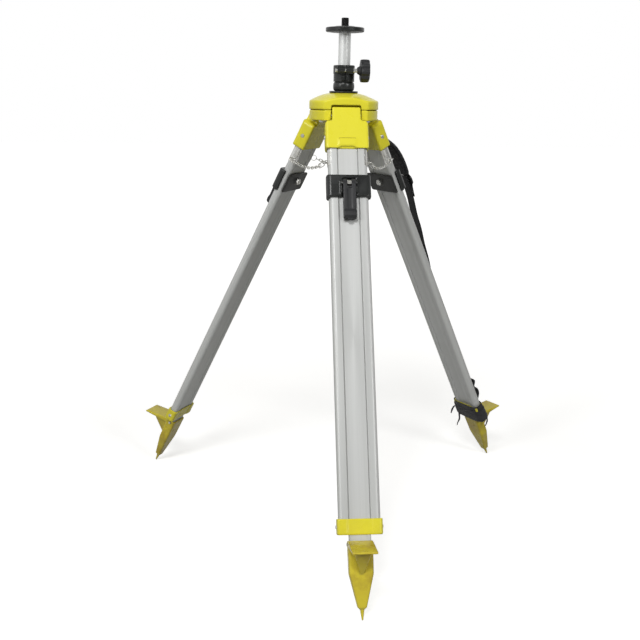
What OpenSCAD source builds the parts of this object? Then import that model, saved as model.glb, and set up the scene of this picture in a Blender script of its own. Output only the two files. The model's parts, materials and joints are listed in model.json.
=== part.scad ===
// Surveying tripod with an elevating column, standing on three extending legs.
// Origin on the ground below the column, +Z up, front leg towards -Y.

/* [Stance] */
// Leg length from the hinge pin to the centre of the foot's rounded point
leg_len = 1031; // [980:5:1100]
// Angle of each leg from the vertical
spread = 27.5; // [22:0.1:30]

/* [Head] */
// Diameter of the domed head
dome_d = 152; // [150:1:160]
// Distance of the head's three flats from the column's axis
flat_r = 60; // [59:0.5:62]
// Height of the head's upright rim
dome_rim_h = 19.5; // [18.5:0.5:20.5]
// Rise of the dome above its rim
dome_rise = 15; // [13:0.5:20]
// Distance of each hinge pin from the column's axis
hinge_r = 52; // [51:0.5:53]
// Depth of the hinge pins below the top of the rim
hinge_drop = 31.5; // [31:0.5:32.5]
// Diameter of the hinge pins
hinge_pin_d = 10; // [8:0.5:10]
// Height of the caps that hold the hinge pins
cap_h = 22; // [21:0.5:22.5]
// Width of the slot for each leg's tongue
slot_w = 63; // [62:0.5:64]

/* [Column] */
// Outer diameter of the column
column_d = 26; // [24:0.5:27]
// Wall of the column tube
column_wall = 2; // [1.5:0.1:3]
// Length of the column tube
column_len = 330; // [300:5:400]
// Length of column that shows above the clamp ring
column_show = 66; // [40:1:90]
// Diameter of the instrument platform
platform_d = 82; // [70:1:100]
// Height of the platform's edge
platform_edge = 10; // [8:0.5:12]
// Diameter of the instrument stud
stud_d = 15.875; // [12:0.125:20]
// Height of the stud above the platform
stud_h = 17; // [12:1:20]

/* [Collar] */
// Diameter of the collar and its rings
collar_d = 46; // [45:0.5:50]
// Diameter of the collar's flange
flange_d = 62; // [58:1:64]
// Height of the collar's rounded lower ring
lower_ring_h = 19; // [16:0.5:24]
// Height of the locking ring
height_ring_h = 16; // [14:0.5:18]
// Height of the split clamp ring
clamp_ring_h = 18; // [16:0.5:20]
// Wall of the bush around the column
bush_wall = 2; // [1.5:0.1:2.5]
// Diameter of the knob
knob_d = 47; // [40:1:52]
// Length of the knob along its screw
knob_len = 18.5; // [15:0.5:22]
// Diameter of the knob's screw
knob_screw_d = 8; // [6:0.5:8]

/* [Leg] */
// Width of the leg across both rails
leg_w = 83; // [80:1:84]
// Depth of the rails
leg_t = 20; // [18:0.5:22]
// Width of each side rail
rail_w = 20; // [19:0.5:21]
// Wall of the side rails and the centre bar
rail_wall = 2.2; // [1.8:0.1:2.5]
// Travel of the centre bar
travel = 620; // [500:10:640]

/* [Shoulder] */
// Width of the shoulder casting
shoulder_w = 92; // [90:0.5:96]
// Depth of the shoulder casting
shoulder_t = 30; // [29:0.5:31]
// Distance from the hinge pin to the top of the wide part
shoulder_top = 17; // [17:0.5:19]
// Distance from the hinge pin to the casting's lower edge
shoulder_bot = 78; // [74:0.5:80]

/* [Leg clamp] */
// Distance from the hinge pin to the top of the clamp
clamp_top = 138; // [134:1:142]
// Height of the clamp band
clamp_h = 48; // [44:1:50]
// Wall of the clamp band at the front
clamp_wall = 7; // [6:0.5:8]
// Wall of the clamp band at the sides
clamp_side = 5; // [4.5:0.5:6]
// Width of the lever
lever_w = 27; // [25:0.5:28]
// Length of the lever below its pin
lever_len = 77; // [66:1:80]

/* [End cap and foot] */
// Height of the end cap
end_cap_h = 31; // [28:1:36]
// Wall of the end cap around the rails
end_cap_wall = 3.5; // [3:0.5:4.5]
// Length of bar that shows between the end cap and the foot
neck_len = 11; // [4:1:16]
// Length of the foot with its point
foot_len = 148; // [144:1:156]
// Width of the foot and of its step
foot_w = 49.5; // [48:0.5:53]
// Reach of the tread plate from the middle of the leg
tread_reach = 76; // [60:1:84]

/* [Chains and strap] */
// Slack of each chain over the straight distance between its two eyes
chain_slack = 4.7; // [3:0.1:20]
// Pitch of the chain links, before they are fitted to a whole number
link_pitch = 7; // [6.8:0.1:8]
// Wire of the chain links
link_wire = 1.8; // [1.4:0.1:2]
// Width of the carrying strap's webbing
web_w = 25; // [22:1:26]
// Width of the strap's shoulder pad
pad_w = 46; // [40:1:54]

/* [Hidden] */

$fn = 64;
wire_fn = 24;
eps = 0.01;
run = 0.05;
slide_gap = 0.3;

yellow = [0.90, 0.85, 0.20];
black = [0.12, 0.12, 0.13];
alu = [0.76, 0.77, 0.77];
steel = [0.62, 0.63, 0.64];
web_black = [0.08, 0.08, 0.09];

tip_r = 2;
hinge_z = leg_len * cos(spread) + tip_r;
rim_z = hinge_z + hinge_drop;
top_z = rim_z + dome_rise;
cap_top_z = rim_z - dome_rim_h;
cap_bot_z = cap_top_z - cap_h;
slot_ceiling_z = rim_z - 10;
slot_inner_r = slot_w / 2 / sin(60);
cap_r = dome_d / 2 - 1;
cap_bolt_r = 58;
tongue_t = 28;
tongue_top = 14;
tongue_w = slot_w - 2;

column_r = column_d / 2;
bush_r = column_r + run + bush_wall;
flange_h = 4;
lower_ring_z = top_z + flange_h;
height_ring_z = lower_ring_z + lower_ring_h;
clamp_ring_z = height_ring_z + height_ring_h;
collar_top_z = clamp_ring_z + clamp_ring_h;
sleeve_r = bush_r + run + 3.5;
platform_bot_z = collar_top_z + column_show;
platform_top_z = platform_bot_z + platform_edge + 2.6;
column_bot_z = platform_bot_z - column_len;
stud_root_d = 12;
stud_relief = 1.2;
stop_h = 14;
stop_r = bush_r + 4;

knob_z = clamp_ring_z + 7;
knob_y = -(column_r + 9);
ear_x = 17;
slit = 2.4;
knob_x = 32.5;

bar_w = leg_w - 2 * rail_w - 2 * slide_gap;
bar_t = leg_t - 3;
groove_d = 3;
groove_t = 6;
rail_r = 8.5;
bar_top = shoulder_bot + 0.5;
bar_bot = leg_len - foot_len + 28;
end_cap_top = leg_len - foot_len - neck_len - end_cap_h;
end_cap_bot = end_cap_top + end_cap_h;
end_cap_w = leg_w + 2 * end_cap_wall;
foot_top = leg_len - foot_len;
guide_bot = end_cap_top - travel - 2;
rail_top = shoulder_bot - 42;
rail_bot = end_cap_bot - 5;

clamp_in = 0.4;
clamp_mid = clamp_top + clamp_h / 2;
band_n = leg_t / 2 + clamp_in + clamp_wall;
band_x = leg_w / 2 + clamp_in + clamp_side;
bolt_s = clamp_top + 20;
bolt_d = 8;
lever_pin_d = 5;
cam_r = 8;
lever_n = 21;
recess_n = lever_n - cam_r - 0.6;
recess_w = lever_w + 1.6;
ear_t = 3;
lever_bore = lever_pin_d + 2 * run;
plate_t = 5;

eye_s = 106;
eye_r = 4.5;
eye_wire = 2;
eye_out = 6;
screw_d = 5;
head_d = 9;
foot_pin_d = 6;
foot_pin_s = foot_top + 7;
tread_drop = 20;
tread_t = 4.5;

// Puts a leg's local frame, with -Z down the leg and -Y outwards, at its hinge
module leg_place(k) {
  rotate([0, 0, 120 * k]) translate([0, -hinge_r, hinge_z]) rotate([-spread, 0, 0]) children();
}

// A flat outline extruded down the leg from one distance to another
module along_leg(from_s, to_s) {
  translate([0, 0, -to_s]) linear_extrude(to_s - from_s) children();
}

// A profile drawn as [outward, down] points and extruded across the leg
module across_leg(width, points) {
  translate([-width / 2, 0, 0]) rotate([90, 0, 90]) linear_extrude(width)
    polygon([for (p = points) [-p[0], -p[1]]]);
}

// A rectangle with round corners made from squares and circles
module round_rect(w, h, r) {
  square([w - 2 * r, h], center = true);
  square([w, h - 2 * r], center = true);
  for (x = [-1, 1], y = [-1, 1]) translate([x * (w / 2 - r), y * (h / 2 - r)]) circle(r);
}

// A cylinder that lies along X, centred on the origin
module x_rod(r, len) {
  rotate([0, 90, 0]) cylinder(r = r, h = len, center = true);
}

module mirror_x() {
  children();
  mirror([1, 0, 0]) children();
}

// Head castings

module dome_profile() {
  r = dome_d / 2;
  top_r = flange_d / 2 + 1;
  edge = 4;
  steps = 14;
  boss_h = 0.8;
  polygon(concat(
    [[0, cap_top_z], [r - 1, cap_top_z], [r, cap_top_z + 1], [r, rim_z - edge]],
    [for (i = [0 : 4]) let (a = i * 18) [r - edge + edge * cos(a), rim_z - edge + edge * sin(a)]],
    [for (i = [1 : steps]) let (u = i / steps)
      [r - edge - 1.2 - u * (r - edge - 1.2 - top_r), rim_z + 0.3 + (dome_rise - boss_h - 0.3) * (0.4 * u + 0.6 * sin(90 * u))]],
    [[top_r - 0.5, top_z - 0.5], [top_r - 1, top_z], [0, top_z]]));
}

// Everything beyond the head's three flats, one of which faces each leg
module beyond_flats(low_z, inset) {
  for (k = [0 : 2]) rotate([0, 0, 120 * k]) translate([-dome_d, -2 * dome_d - flat_r + inset, low_z])
    cube([2 * dome_d, 2 * dome_d, cap_h + dome_rim_h + dome_rise + 4]);
}

module tongue_slots(low_z) {
  for (k = [0 : 2]) rotate([0, 0, 120 * k])
    translate([-slot_w / 2, -dome_d, low_z]) cube([slot_w, dome_d - slot_inner_r + 6, slot_ceiling_z - low_z]);
}

module cap_bolt_places() {
  for (k = [0 : 2]) rotate([0, 0, 120 * k + 60]) translate([0, -cap_bolt_r, 0]) children();
}

module head_dome() {
  color(yellow) difference() {
    union() {
      rotate_extrude($fn = 96) dome_profile();
      translate([0, 0, cap_bot_z]) cylinder(r = slot_inner_r - 5, h = cap_h + eps);
    }
    translate([0, 0, cap_bot_z - 1]) cylinder(r = bush_r + run, h = cap_h + dome_rim_h + dome_rise + 2);
    tongue_slots(cap_bot_z - 1);
    beyond_flats(cap_bot_z - 1, 0);
    cap_bolt_places() translate([0, 0, cap_top_z - 1]) cylinder(d = screw_d, h = 13);
    for (a = [45 : 90 : 315]) rotate([0, 0, a]) translate([flange_d / 2 - 4, 0, top_z - 10])
      cylinder(d = 4, h = 11);
  }
}

// Three caps below the dome, which close round the ends of the hinge pins
module hinge_caps() {
  parting = 1.2;
  color(yellow) difference() {
    translate([0, 0, cap_bot_z]) difference() {
      union() {
        cylinder(r = cap_r, h = cap_h - parting, $fn = 96);
        cylinder(r = cap_r - 3, h = cap_h, $fn = 96);
      }
      translate([0, 0, -1]) cylinder(r = slot_inner_r - 4.6, h = cap_h + 2);
    }
    tongue_slots(cap_bot_z - 1);
    beyond_flats(cap_bot_z - 1, 0.6);
    for (k = [0 : 2]) rotate([0, 0, 120 * k]) translate([0, -hinge_r, hinge_z])
      x_rod(hinge_pin_d / 2, slot_w + 28);
    cap_bolt_places() translate([0, 0, cap_bot_z - 1]) cylinder(d = screw_d, h = cap_h + 2);
  }
}

// Bolts up through the caps into the dome
module cap_bolts() {
  color(steel) cap_bolt_places() {
    rotate_extrude() polygon([[0, cap_bot_z - 4.5], [3, cap_bot_z - 4.2], [4.6, cap_bot_z - 3.2], [5.2, cap_bot_z - 2],
      [5.2, cap_bot_z - 1], [6.2, cap_bot_z - 1], [6.2, cap_bot_z], [0, cap_bot_z]]);
    translate([0, 0, cap_bot_z - eps]) cylinder(d = screw_d, h = cap_h + 11);
  }
}

module hinge_pins() {
  color(steel) for (k = [0 : 2]) rotate([0, 0, 120 * k]) translate([0, -hinge_r, hinge_z])
    x_rod(hinge_pin_d / 2, slot_w + 27);
}

// Collar, its rings and the knob

module collar_body() {
  r = collar_d / 2;
  color(black) difference() {
    rotate_extrude($fn = 96) polygon(concat(
      [[bush_r + run, top_z], [flange_d / 2 - 1, top_z], [flange_d / 2, top_z + 1],
        [flange_d / 2, top_z + flange_h - 1], [flange_d / 2 - 1, top_z + flange_h],
        [r - 4, top_z + flange_h]],
      [for (i = [0 : 12]) let (a = -75 + i * 12.5)
        [r - 3 + 3 * cos(a), lower_ring_z + lower_ring_h / 2 + (lower_ring_h / 2 - 0.6) * sin(a)]],
      [[sleeve_r, height_ring_z], [sleeve_r, clamp_ring_z], [bush_r + run, clamp_ring_z]]));
    for (a = [45 : 90 : 315]) rotate([0, 0, a]) translate([flange_d / 2 - 4, 0, top_z - 1])
      cylinder(d = 4, h = flange_h + 2);
  }
}

// Split locking ring round the collar's sleeve, with two lugs at its slit
module height_ring() {
  r = collar_d / 2 - 0.6;
  lug_y = r + 3.5;
  color(black) difference() {
    union() {
      translate([0, 0, height_ring_z + 0.2]) cylinder(r = r, h = height_ring_h - 0.4, $fn = 96);
      translate([-7, -lug_y, height_ring_z + 3.5]) cube([14, lug_y - sleeve_r, 7]);
    }
    translate([0, 0, height_ring_z - 1]) cylinder(r = sleeve_r, h = height_ring_h + 2);
    translate([-slit / 2, -lug_y - 1, height_ring_z - 1]) cube([slit, lug_y, height_ring_h + 2]);
  }
}

module clamp_ring() {
  r = collar_d / 2;
  ear_y = -knob_y + 6.5;
  color(black) difference() {
    union() {
      rotate_extrude($fn = 96) polygon([[column_r + 0.2, clamp_ring_z], [r - 0.8, clamp_ring_z],
        [r, clamp_ring_z + 0.8], [r, collar_top_z - 1.5], [r - 1.5, collar_top_z],
        [column_r + 0.2, collar_top_z]]);
      translate([-ear_x, -ear_y + 1.5, clamp_ring_z + 0.5]) cube([2 * ear_x, 14, clamp_ring_h - 3]);
      translate([0, knob_y, knob_z + 1]) x_rod(7.4, 2 * ear_x);
    }
    translate([0, 0, clamp_ring_z - 9]) cylinder(r = column_r + 0.3, h = clamp_ring_h + 18);
    translate([-slit / 2, -ear_y - 2, clamp_ring_z - 1]) cube([slit, ear_y, clamp_ring_h + 2]);
    translate([0, knob_y, knob_z]) x_rod(knob_screw_d / 2 + run, 2 * ear_x + 2);
    translate([-ear_x - 1, -ear_y - 2, clamp_ring_z - 9]) cube([2 * ear_x + 2, ear_y * 2, 9]);
  }
}

module clamp_screw() {
  color(steel) translate([0, knob_y, knob_z]) {
    translate([-ear_x - 4, 0, 0]) rotate([0, 90, 0]) cylinder(d = knob_screw_d, h = ear_x + 4 + knob_x + 8);
    translate([ear_x + 0.3, 0, 0]) rotate([0, 90, 0]) cylinder(d = knob_screw_d + 3.5, h = 2.5);
  }
}

module clamp_knob() {
  flutes = 9;
  flute_r = 5;
  hub_d = 21;
  color(black) translate([knob_x, knob_y, knob_z]) rotate([0, 90, 0]) difference() {
    union() {
      rotate_extrude($fn = 96) polygon(concat(
        [[0, -7], [6.5, -7], [hub_d / 2, 0], [knob_d / 2 - 1.5, 0], [knob_d / 2, 1.5]],
        [[knob_d / 2, knob_len - 3], [knob_d / 2 - 0.9, knob_len - 0.9], [knob_d / 2 - 3, knob_len],
          [0, knob_len]]));
    }
    translate([0, 0, -8]) cylinder(d = knob_screw_d + 2 * run, h = 16.5);
    for (i = [0 : flutes - 1]) rotate([0, 0, (i + 0.5) * 360 / flutes])
      translate([knob_d / 2 + flute_r - 2.4, 0, -1]) cylinder(r = flute_r, h = knob_len + 2);
    translate([0, 0, knob_len - 1.2]) cylinder(d = knob_d * 0.55, h = 2);
  }
}

// Column

module column_bush() {
  color([0.2, 0.2, 0.2]) translate([0, 0, cap_bot_z]) difference() {
    cylinder(r = bush_r, h = clamp_ring_z - cap_bot_z - 0.3);
    translate([0, 0, -1]) cylinder(r = column_r + run, h = clamp_ring_z - cap_bot_z + 2);
  }
}

module column_tube() {
  color(alu) difference() {
    translate([0, 0, column_bot_z]) cylinder(r = column_r, h = column_len);
    translate([0, 0, column_bot_z - 1]) cylinder(r = column_r - column_wall, h = column_len + 2);
  }
}

// Plug and collar at the column's lower end, which stops it under the head
module column_stop() {
  color(black) {
    translate([0, 0, column_bot_z - 4]) cylinder(r = stop_r, h = 4);
    translate([0, 0, column_bot_z - eps]) cylinder(r = column_r - column_wall, h = stop_h);
  }
}

module platform_disc() {
  r = platform_d / 2;
  b = platform_bot_z;
  color(black) {
    rotate_extrude($fn = 96) polygon([[stud_root_d / 2, b], [r - 12, b], [r - 10, b + 0.7], [r - 2.5, b + 1],
      [r - 0.7, b + 1.8], [r, b + 3.2], [r, b + platform_edge - 1.2], [r - 0.7, b + platform_edge - 0.3],
      [r - 2, b + platform_edge + 0.2], [r - 7, b + platform_edge + 0.9],
      [22, platform_top_z - 1], [20.5, platform_top_z], [stud_d / 2 + 1.6, platform_top_z],
      [stud_d / 2 + 1.6, platform_top_z - stud_relief], [stud_root_d / 2, platform_top_z - stud_relief]]);
    difference() {
      translate([0, 0, b - 12]) cylinder(r = column_r - column_wall, h = 12 + eps);
      translate([0, 0, b - 13]) cylinder(d = stud_root_d, h = 14);
    }
  }
}

module instrument_stud() {
  chamfer = 1.2;
  color(black) {
    translate([0, 0, platform_bot_z - 12]) cylinder(d = stud_root_d, h = 12 + platform_top_z - platform_bot_z + 1);
    translate([0, 0, platform_top_z]) cylinder(d = stud_d, h = stud_h - chamfer);
    translate([0, 0, platform_top_z + stud_h - chamfer])
      cylinder(d1 = stud_d, d2 = stud_d - 2 * chamfer, h = chamfer);
  }
}

// Upper leg

// Discs at the rail's two outer corners, cut off on the side towards the leg's middle
module rail_rounds(r, from_x) {
  intersection() {
    for (y = [-1, 1]) translate([leg_w / 2 - rail_r, y * (leg_t / 2 - rail_r)]) circle(r);
    translate([from_x, -leg_t / 2]) square([leg_w / 2 - from_x, leg_t]);
  }
}

module rail_outline() {
  h = leg_t / 2;
  r = rail_r;
  chamfer = 1.5;
  x0 = leg_w / 2 - rail_w;
  difference() {
    union() {
      translate([x0 + chamfer, -h]) square([rail_w - r - chamfer, leg_t]);
      translate([x0, -h + chamfer]) square([rail_w - 1, leg_t - 2 * chamfer]);
      translate([leg_w / 2 - r, -h + r]) square([r, leg_t - 2 * r]);
      rail_rounds(r, leg_w / 2 - r);
      for (y = [-1, 1]) scale([1, y]) polygon([[x0, h - chamfer], [x0 + chamfer, h],
        [x0 + chamfer + 1, h - 1], [x0 + 1, h - chamfer - 1]]);
    }
    for (y = [-1, 1]) scale([1, y]) difference() {
      translate([leg_w / 2 - r, h - r]) square([r + 1, r + 1]);
      translate([leg_w / 2 - r, h - r]) circle(r);
    }
  }
}

module rail_section() {
  h = leg_t / 2;
  x0 = leg_w / 2 - rail_w;
  x1 = x0 + groove_d + rail_wall;
  difference() {
    rail_outline();
    translate([x0 - 1, -groove_t / 2]) square([groove_d + 1, groove_t]);
    translate([x1, -h + rail_wall]) square([leg_w / 2 - rail_r - x1, leg_t - 2 * rail_wall]);
    translate([x1, -h + rail_r]) square([leg_w / 2 - rail_wall - x1, leg_t - 2 * rail_r]);
    rail_rounds(rail_r - rail_wall, x1);
  }
}

module rails(k) {
  color(alu) leg_place(k) mirror_x() difference() {
    along_leg(rail_top, rail_bot) rail_section();
    for (s = [shoulder_bot - 28, eye_s, end_cap_top + end_cap_h / 2])
      translate([leg_w / 2, 0, -s]) x_rod(s == eye_s ? eye_wire / 2 + 0.5 : screw_d / 2, 8);
  }
}

// Front outline of the shoulder, tongue above and wide part below
module shoulder_front_view() {
  w = shoulder_w / 2;
  t = tongue_w / 2;
  r = 8;
  f = 3.5;
  top = shoulder_top;
  side = concat([[t, 0], [t, -(top - f)]],
    [for (i = [1 : 4]) let (a = i * 22.5) [t + f - f * cos(a), -(top - f) - f * sin(a)]],
    [for (i = [0 : 4]) let (a = 90 - i * 22.5) [w - r + r * cos(a), -(top + r) + r * sin(a)]],
    [[w, -(shoulder_bot - 2)], [w - 2, -shoulder_bot]]);
  n = len(side);
  polygon(concat([[-t, tongue_top], [t, tongue_top]], side,
    [for (i = [1 : n]) [-side[n - i][0], side[n - i][1]]]));
}

// Plan outline of the shoulder with its rounded corners
module shoulder_plan() {
  round_rect(shoulder_w, shoulder_t, 5);
}

module shoulder(k) {
  half = shoulder_t / 2;
  h = tongue_t / 2;
  notch_w = 40;
  back = [for (i = [0 : 6]) let (a = i * 15) [-h * sin(a), -h * cos(a)]];
  color(yellow) leg_place(k) difference() {
    union() {
      intersection() {
        translate([0, half, 0]) rotate([90, 0, 0]) linear_extrude(shoulder_t) shoulder_front_view();
        along_leg(-tongue_top - 1, shoulder_bot + 1) shoulder_plan();
        across_leg(shoulder_w + 2, concat([[half, -tongue_top + 1.5], [half, shoulder_bot + 1],
          [-half, shoulder_bot + 1], [-half, shoulder_top + 4], [-h, shoulder_top + 1]],
          [for (i = [0 : 6]) back[6 - i]], [[half - 1.5, -tongue_top]]));
      }
      translate([-18.5, -half - 0.8, -(shoulder_bot - 7)]) cube([37, 2, 13]);
    }
    x_rod(hinge_pin_d / 2 + run, shoulder_w);
    mirror_x() along_leg(rail_top, shoulder_bot + 1) rail_outline();
    along_leg(shoulder_bot - 30, shoulder_bot + 1) square([bar_w - 6, leg_t - 8], center = true);
    translate([0, -leg_t / 2 + 1, 0]) rotate([90, 0, 0]) linear_extrude(half)
      polygon([[-notch_w / 2, -(shoulder_bot + 1)], [notch_w / 2, -(shoulder_bot + 1)],
        [notch_w / 2, -shoulder_bot], [notch_w / 3, -(shoulder_bot - 4)], [-notch_w / 3, -(shoulder_bot - 4)],
        [-notch_w / 2, -shoulder_bot]]);
    translate([0, 0, -(shoulder_bot - 28)]) x_rod(screw_d / 2, shoulder_w + 2);
  }
}

// A screw that enters from the +X side, with a crossed recess in its head
module side_screw(x) {
  translate([x, 0, 0]) rotate([0, 90, 0]) difference() {
    union() {
      translate([0, 0, -(x - leg_w / 2 + rail_wall + 1)]) cylinder(d = screw_d, h = x - leg_w / 2 + rail_wall + 1);
      cylinder(d1 = head_d, d2 = head_d - 3, h = 2);
    }
    for (a = [0, 90]) rotate([0, 0, a + 45]) translate([-2.4, -0.5, 1]) cube([4.8, 1, 2]);
  }
}

module leg_screws(k) {
  color(steel) leg_place(k) mirror_x() {
    translate([0, 0, -(shoulder_bot - 28)]) side_screw(shoulder_w / 2);
    translate([0, 0, -(end_cap_top + end_cap_h / 2)]) side_screw(end_cap_w / 2);
  }
}

// Plate that lies round a rail's outer side below the shoulder
module eye_plate() {
  skin = 0.9;
  fit = 0.05;
  x0 = leg_w / 2 - rail_r;
  along_leg(shoulder_bot + 2, eye_s + 9) intersection() {
    difference() {
      union() {
        for (y = [-1, 1]) translate([x0, y * (leg_t / 2 - rail_r)]) circle(rail_r + skin);
        translate([x0, -leg_t / 2 + rail_r]) square([rail_r + skin, leg_t - 2 * rail_r]);
      }
      for (y = [-1, 1]) translate([x0, y * (leg_t / 2 - rail_r)]) circle(rail_r + fit);
      translate([x0, -leg_t / 2 + rail_r]) square([rail_r + fit, leg_t - 2 * rail_r]);
    }
    translate([x0 + 2, -leg_t]) square([rail_r, 2 * leg_t]);
  }
}

// Eye screws, which hold the chains, through plates on the rails' outer sides
module chain_eyes(k) {
  color(steel) leg_place(k) mirror_x() {
    eye_plate();
    translate([leg_w / 2, 0, -eye_s]) {
      translate([-rail_wall - 1, 0, 0]) rotate([0, 90, 0])
        cylinder(r = eye_wire / 2 + 0.5, h = rail_wall + 1.5, $fn = wire_fn);
      translate([0.2, 0, 0]) rotate([0, 90, 0]) cylinder(r = 3.2, h = 1.4, $fn = 6);
      translate([eye_out, 0, 0]) rotate_extrude($fn = 48) translate([eye_r, 0]) circle(eye_wire / 2, $fn = wire_fn);
    }
  }
}

// Outline of the end cap: a lobe round each rail and a flatter middle
module end_cap_outline() {
  h = leg_t / 2 + end_cap_wall - 0.5;
  w = end_cap_w / 2;
  lobe = rail_w + end_cap_wall;
  square([end_cap_w - 2 * lobe + 8, 2 * h - 3], center = true);
  for (x = [-1, 1]) translate([x * (w - lobe / 2), 0]) round_rect(lobe, 2 * h, 6);
}

module end_cap(k) {
  color(yellow) leg_place(k) difference() {
    union() {
      along_leg(end_cap_top, end_cap_bot - 2) end_cap_outline();
      along_leg(end_cap_bot - 2 - eps, end_cap_bot) scale([0.975, 0.93]) end_cap_outline();
    }
    mirror_x() along_leg(end_cap_top - 1, rail_bot) rail_outline();
    along_leg(end_cap_top - 1, end_cap_bot + 1)
      square([bar_w + 2 * slide_gap, bar_t + 2 * slide_gap], center = true);
    translate([0, 0, -(end_cap_top + end_cap_h / 2)]) x_rod(screw_d / 2, end_cap_w + 2);
  }
}

// Lower leg

module bar_outline() {
  c = 1.5;
  w = bar_w / 2;
  h = bar_t / 2;
  polygon([[-w + c, -h], [w - c, -h], [w, -h + c], [w, h - c], [w - c, h], [-w + c, h], [-w, h - c], [-w, -h + c]]);
}

module centre_bar(k) {
  color(alu) leg_place(k) difference() {
    union() {
      along_leg(bar_top, bar_bot) bar_outline();
      along_leg(bar_top, guide_bot)
        square([bar_w + 2 * groove_d, groove_t - 2 * slide_gap], center = true);
    }
    for (part = [[bar_top - 1, clamp_top], [clamp_top + clamp_h, bar_bot + 1]]) along_leg(part[0], part[1])
      square([bar_w - 2 * rail_wall, bar_t - 2 * rail_wall], center = true);
    translate([0, 0, -bolt_s]) rotate([90, 0, 0]) cylinder(d = bolt_d, h = leg_t + 2, center = true);
    translate([0, 0, -foot_pin_s]) x_rod(foot_pin_d / 2, bar_w + 2);
  }
}

// Outline of the clamp band round the leg's front and half of its sides
module band_outline() {
  r = 9.5;
  back_n = 1;
  h = leg_t / 2 + clamp_in;
  w = leg_w / 2 + clamp_in;
  difference() {
    union() {
      translate([-band_x, -band_n + r]) square([2 * band_x, band_n - r - back_n]);
      translate([-band_x + r, -band_n]) square([2 * band_x - 2 * r, r + 1]);
      for (x = [-1, 1]) translate([x * (band_x - r), -band_n + r]) circle(r);
    }
    translate([-w, -h + 8.9]) square([2 * w, h]);
    translate([-w + 8.9, -h]) square([2 * w - 17.8, h + 1]);
    for (x = [-1, 1]) translate([x * (w - 8.9), -h + 8.9]) circle(8.9);
  }
  translate([-bar_w / 2 + 2, -h - 1]) square([bar_w - 4, h + 1 - bar_t / 2]);
}

module clamp_band(k) {
  lip = 4;
  bevel = 1.2;
  color(black) leg_place(k) difference() {
    union() {
      along_leg(clamp_top + bevel, clamp_top + clamp_h - bevel) band_outline();
      intersection() {
        along_leg(clamp_top, clamp_top + clamp_h) band_outline();
        translate([0, 0, -clamp_mid]) cube([2 * (band_x - bevel), 2 * (band_n - bevel), clamp_h], center = true);
      }
      mirror_x() translate([band_x - clamp_side, -band_n + 9.5, -(clamp_top + clamp_h + lip - 2)])
        cube([clamp_side - 1, band_n - 11, lip]);
      mirror_x() translate([recess_w / 2, -lever_n, -bolt_s]) {
        rotate([0, 90, 0]) cylinder(r = 5.5, h = ear_t);
        translate([0, 0, -clamp_h / 2 + 2]) cube([ear_t, lever_n - band_n + 2, clamp_h / 2 + 1]);
      }
    }
    translate([-recess_w / 2, -lever_n - cam_r, -(clamp_top + clamp_h + 1)])
      cube([recess_w, lever_n + cam_r - recess_n, clamp_h - 7]);
    translate([0, -lever_n, -bolt_s]) x_rod(lever_pin_d / 2, lever_w + 20);
    translate([0, 0, -bolt_s]) rotate([90, 0, 0]) cylinder(d = bolt_d, h = band_n + 2);
  }
}

module clamp_plate(k) {
  w = leg_w + 8;
  n0 = leg_t / 2 + clamp_in;
  h = clamp_h - 4;
  color(black) leg_place(k) difference() {
    union() {
      translate([0, n0, -(clamp_mid + 1)]) rotate([-90, 0, 0]) {
        linear_extrude(plate_t - 1) round_rect(w, h, 4);
        linear_extrude(plate_t) round_rect(w - 2.4, h - 2.4, 3);
      }
      translate([-bar_w / 2 + 2, bar_t / 2, -(clamp_mid + h / 2 - 3)]) cube([bar_w - 4, n0 - bar_t / 2 + 1, h - 6]);
      translate([0, n0 + plate_t - eps, -bolt_s]) rotate([-90, 0, 0]) cylinder(r = 9, h = 1.2);
    }
    translate([0, 0, -bolt_s]) rotate([-90, 0, 0]) cylinder(d = bolt_d, h = 40);
  }
}

// Through bolt with an eye round the lever's pin, and its nut behind the plate
module clamp_bolt(k) {
  back = leg_t / 2 + clamp_in + plate_t + 1.2;
  color(steel) leg_place(k) translate([0, 0, -bolt_s]) {
    difference() {
      union() {
        translate([0, -lever_n + 1, 0]) rotate([-90, 0, 0]) cylinder(d = bolt_d - eps, h = lever_n - 1 + back + 8);
        translate([0, -lever_n, 0]) x_rod(lever_pin_d / 2 + 2.5, 8);
      }
      translate([0, -lever_n, 0]) x_rod(lever_pin_d / 2, 10);
    }
    translate([0, back, 0]) rotate([-90, 0, 0]) difference() {
      union() {
        cylinder(d = 15, h = 5, $fn = 6);
        translate([0, 0, 5 - eps]) cylinder(d1 = 13, d2 = 10, h = 1.5);
      }
      translate([0, 0, -1]) cylinder(d = bolt_d, h = 9);
    }
  }
}

module lever_pin(k) {
  color(steel) leg_place(k) translate([0, -lever_n, -bolt_s]) x_rod(lever_pin_d / 2, recess_w + 2 * ear_t);
}

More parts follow.
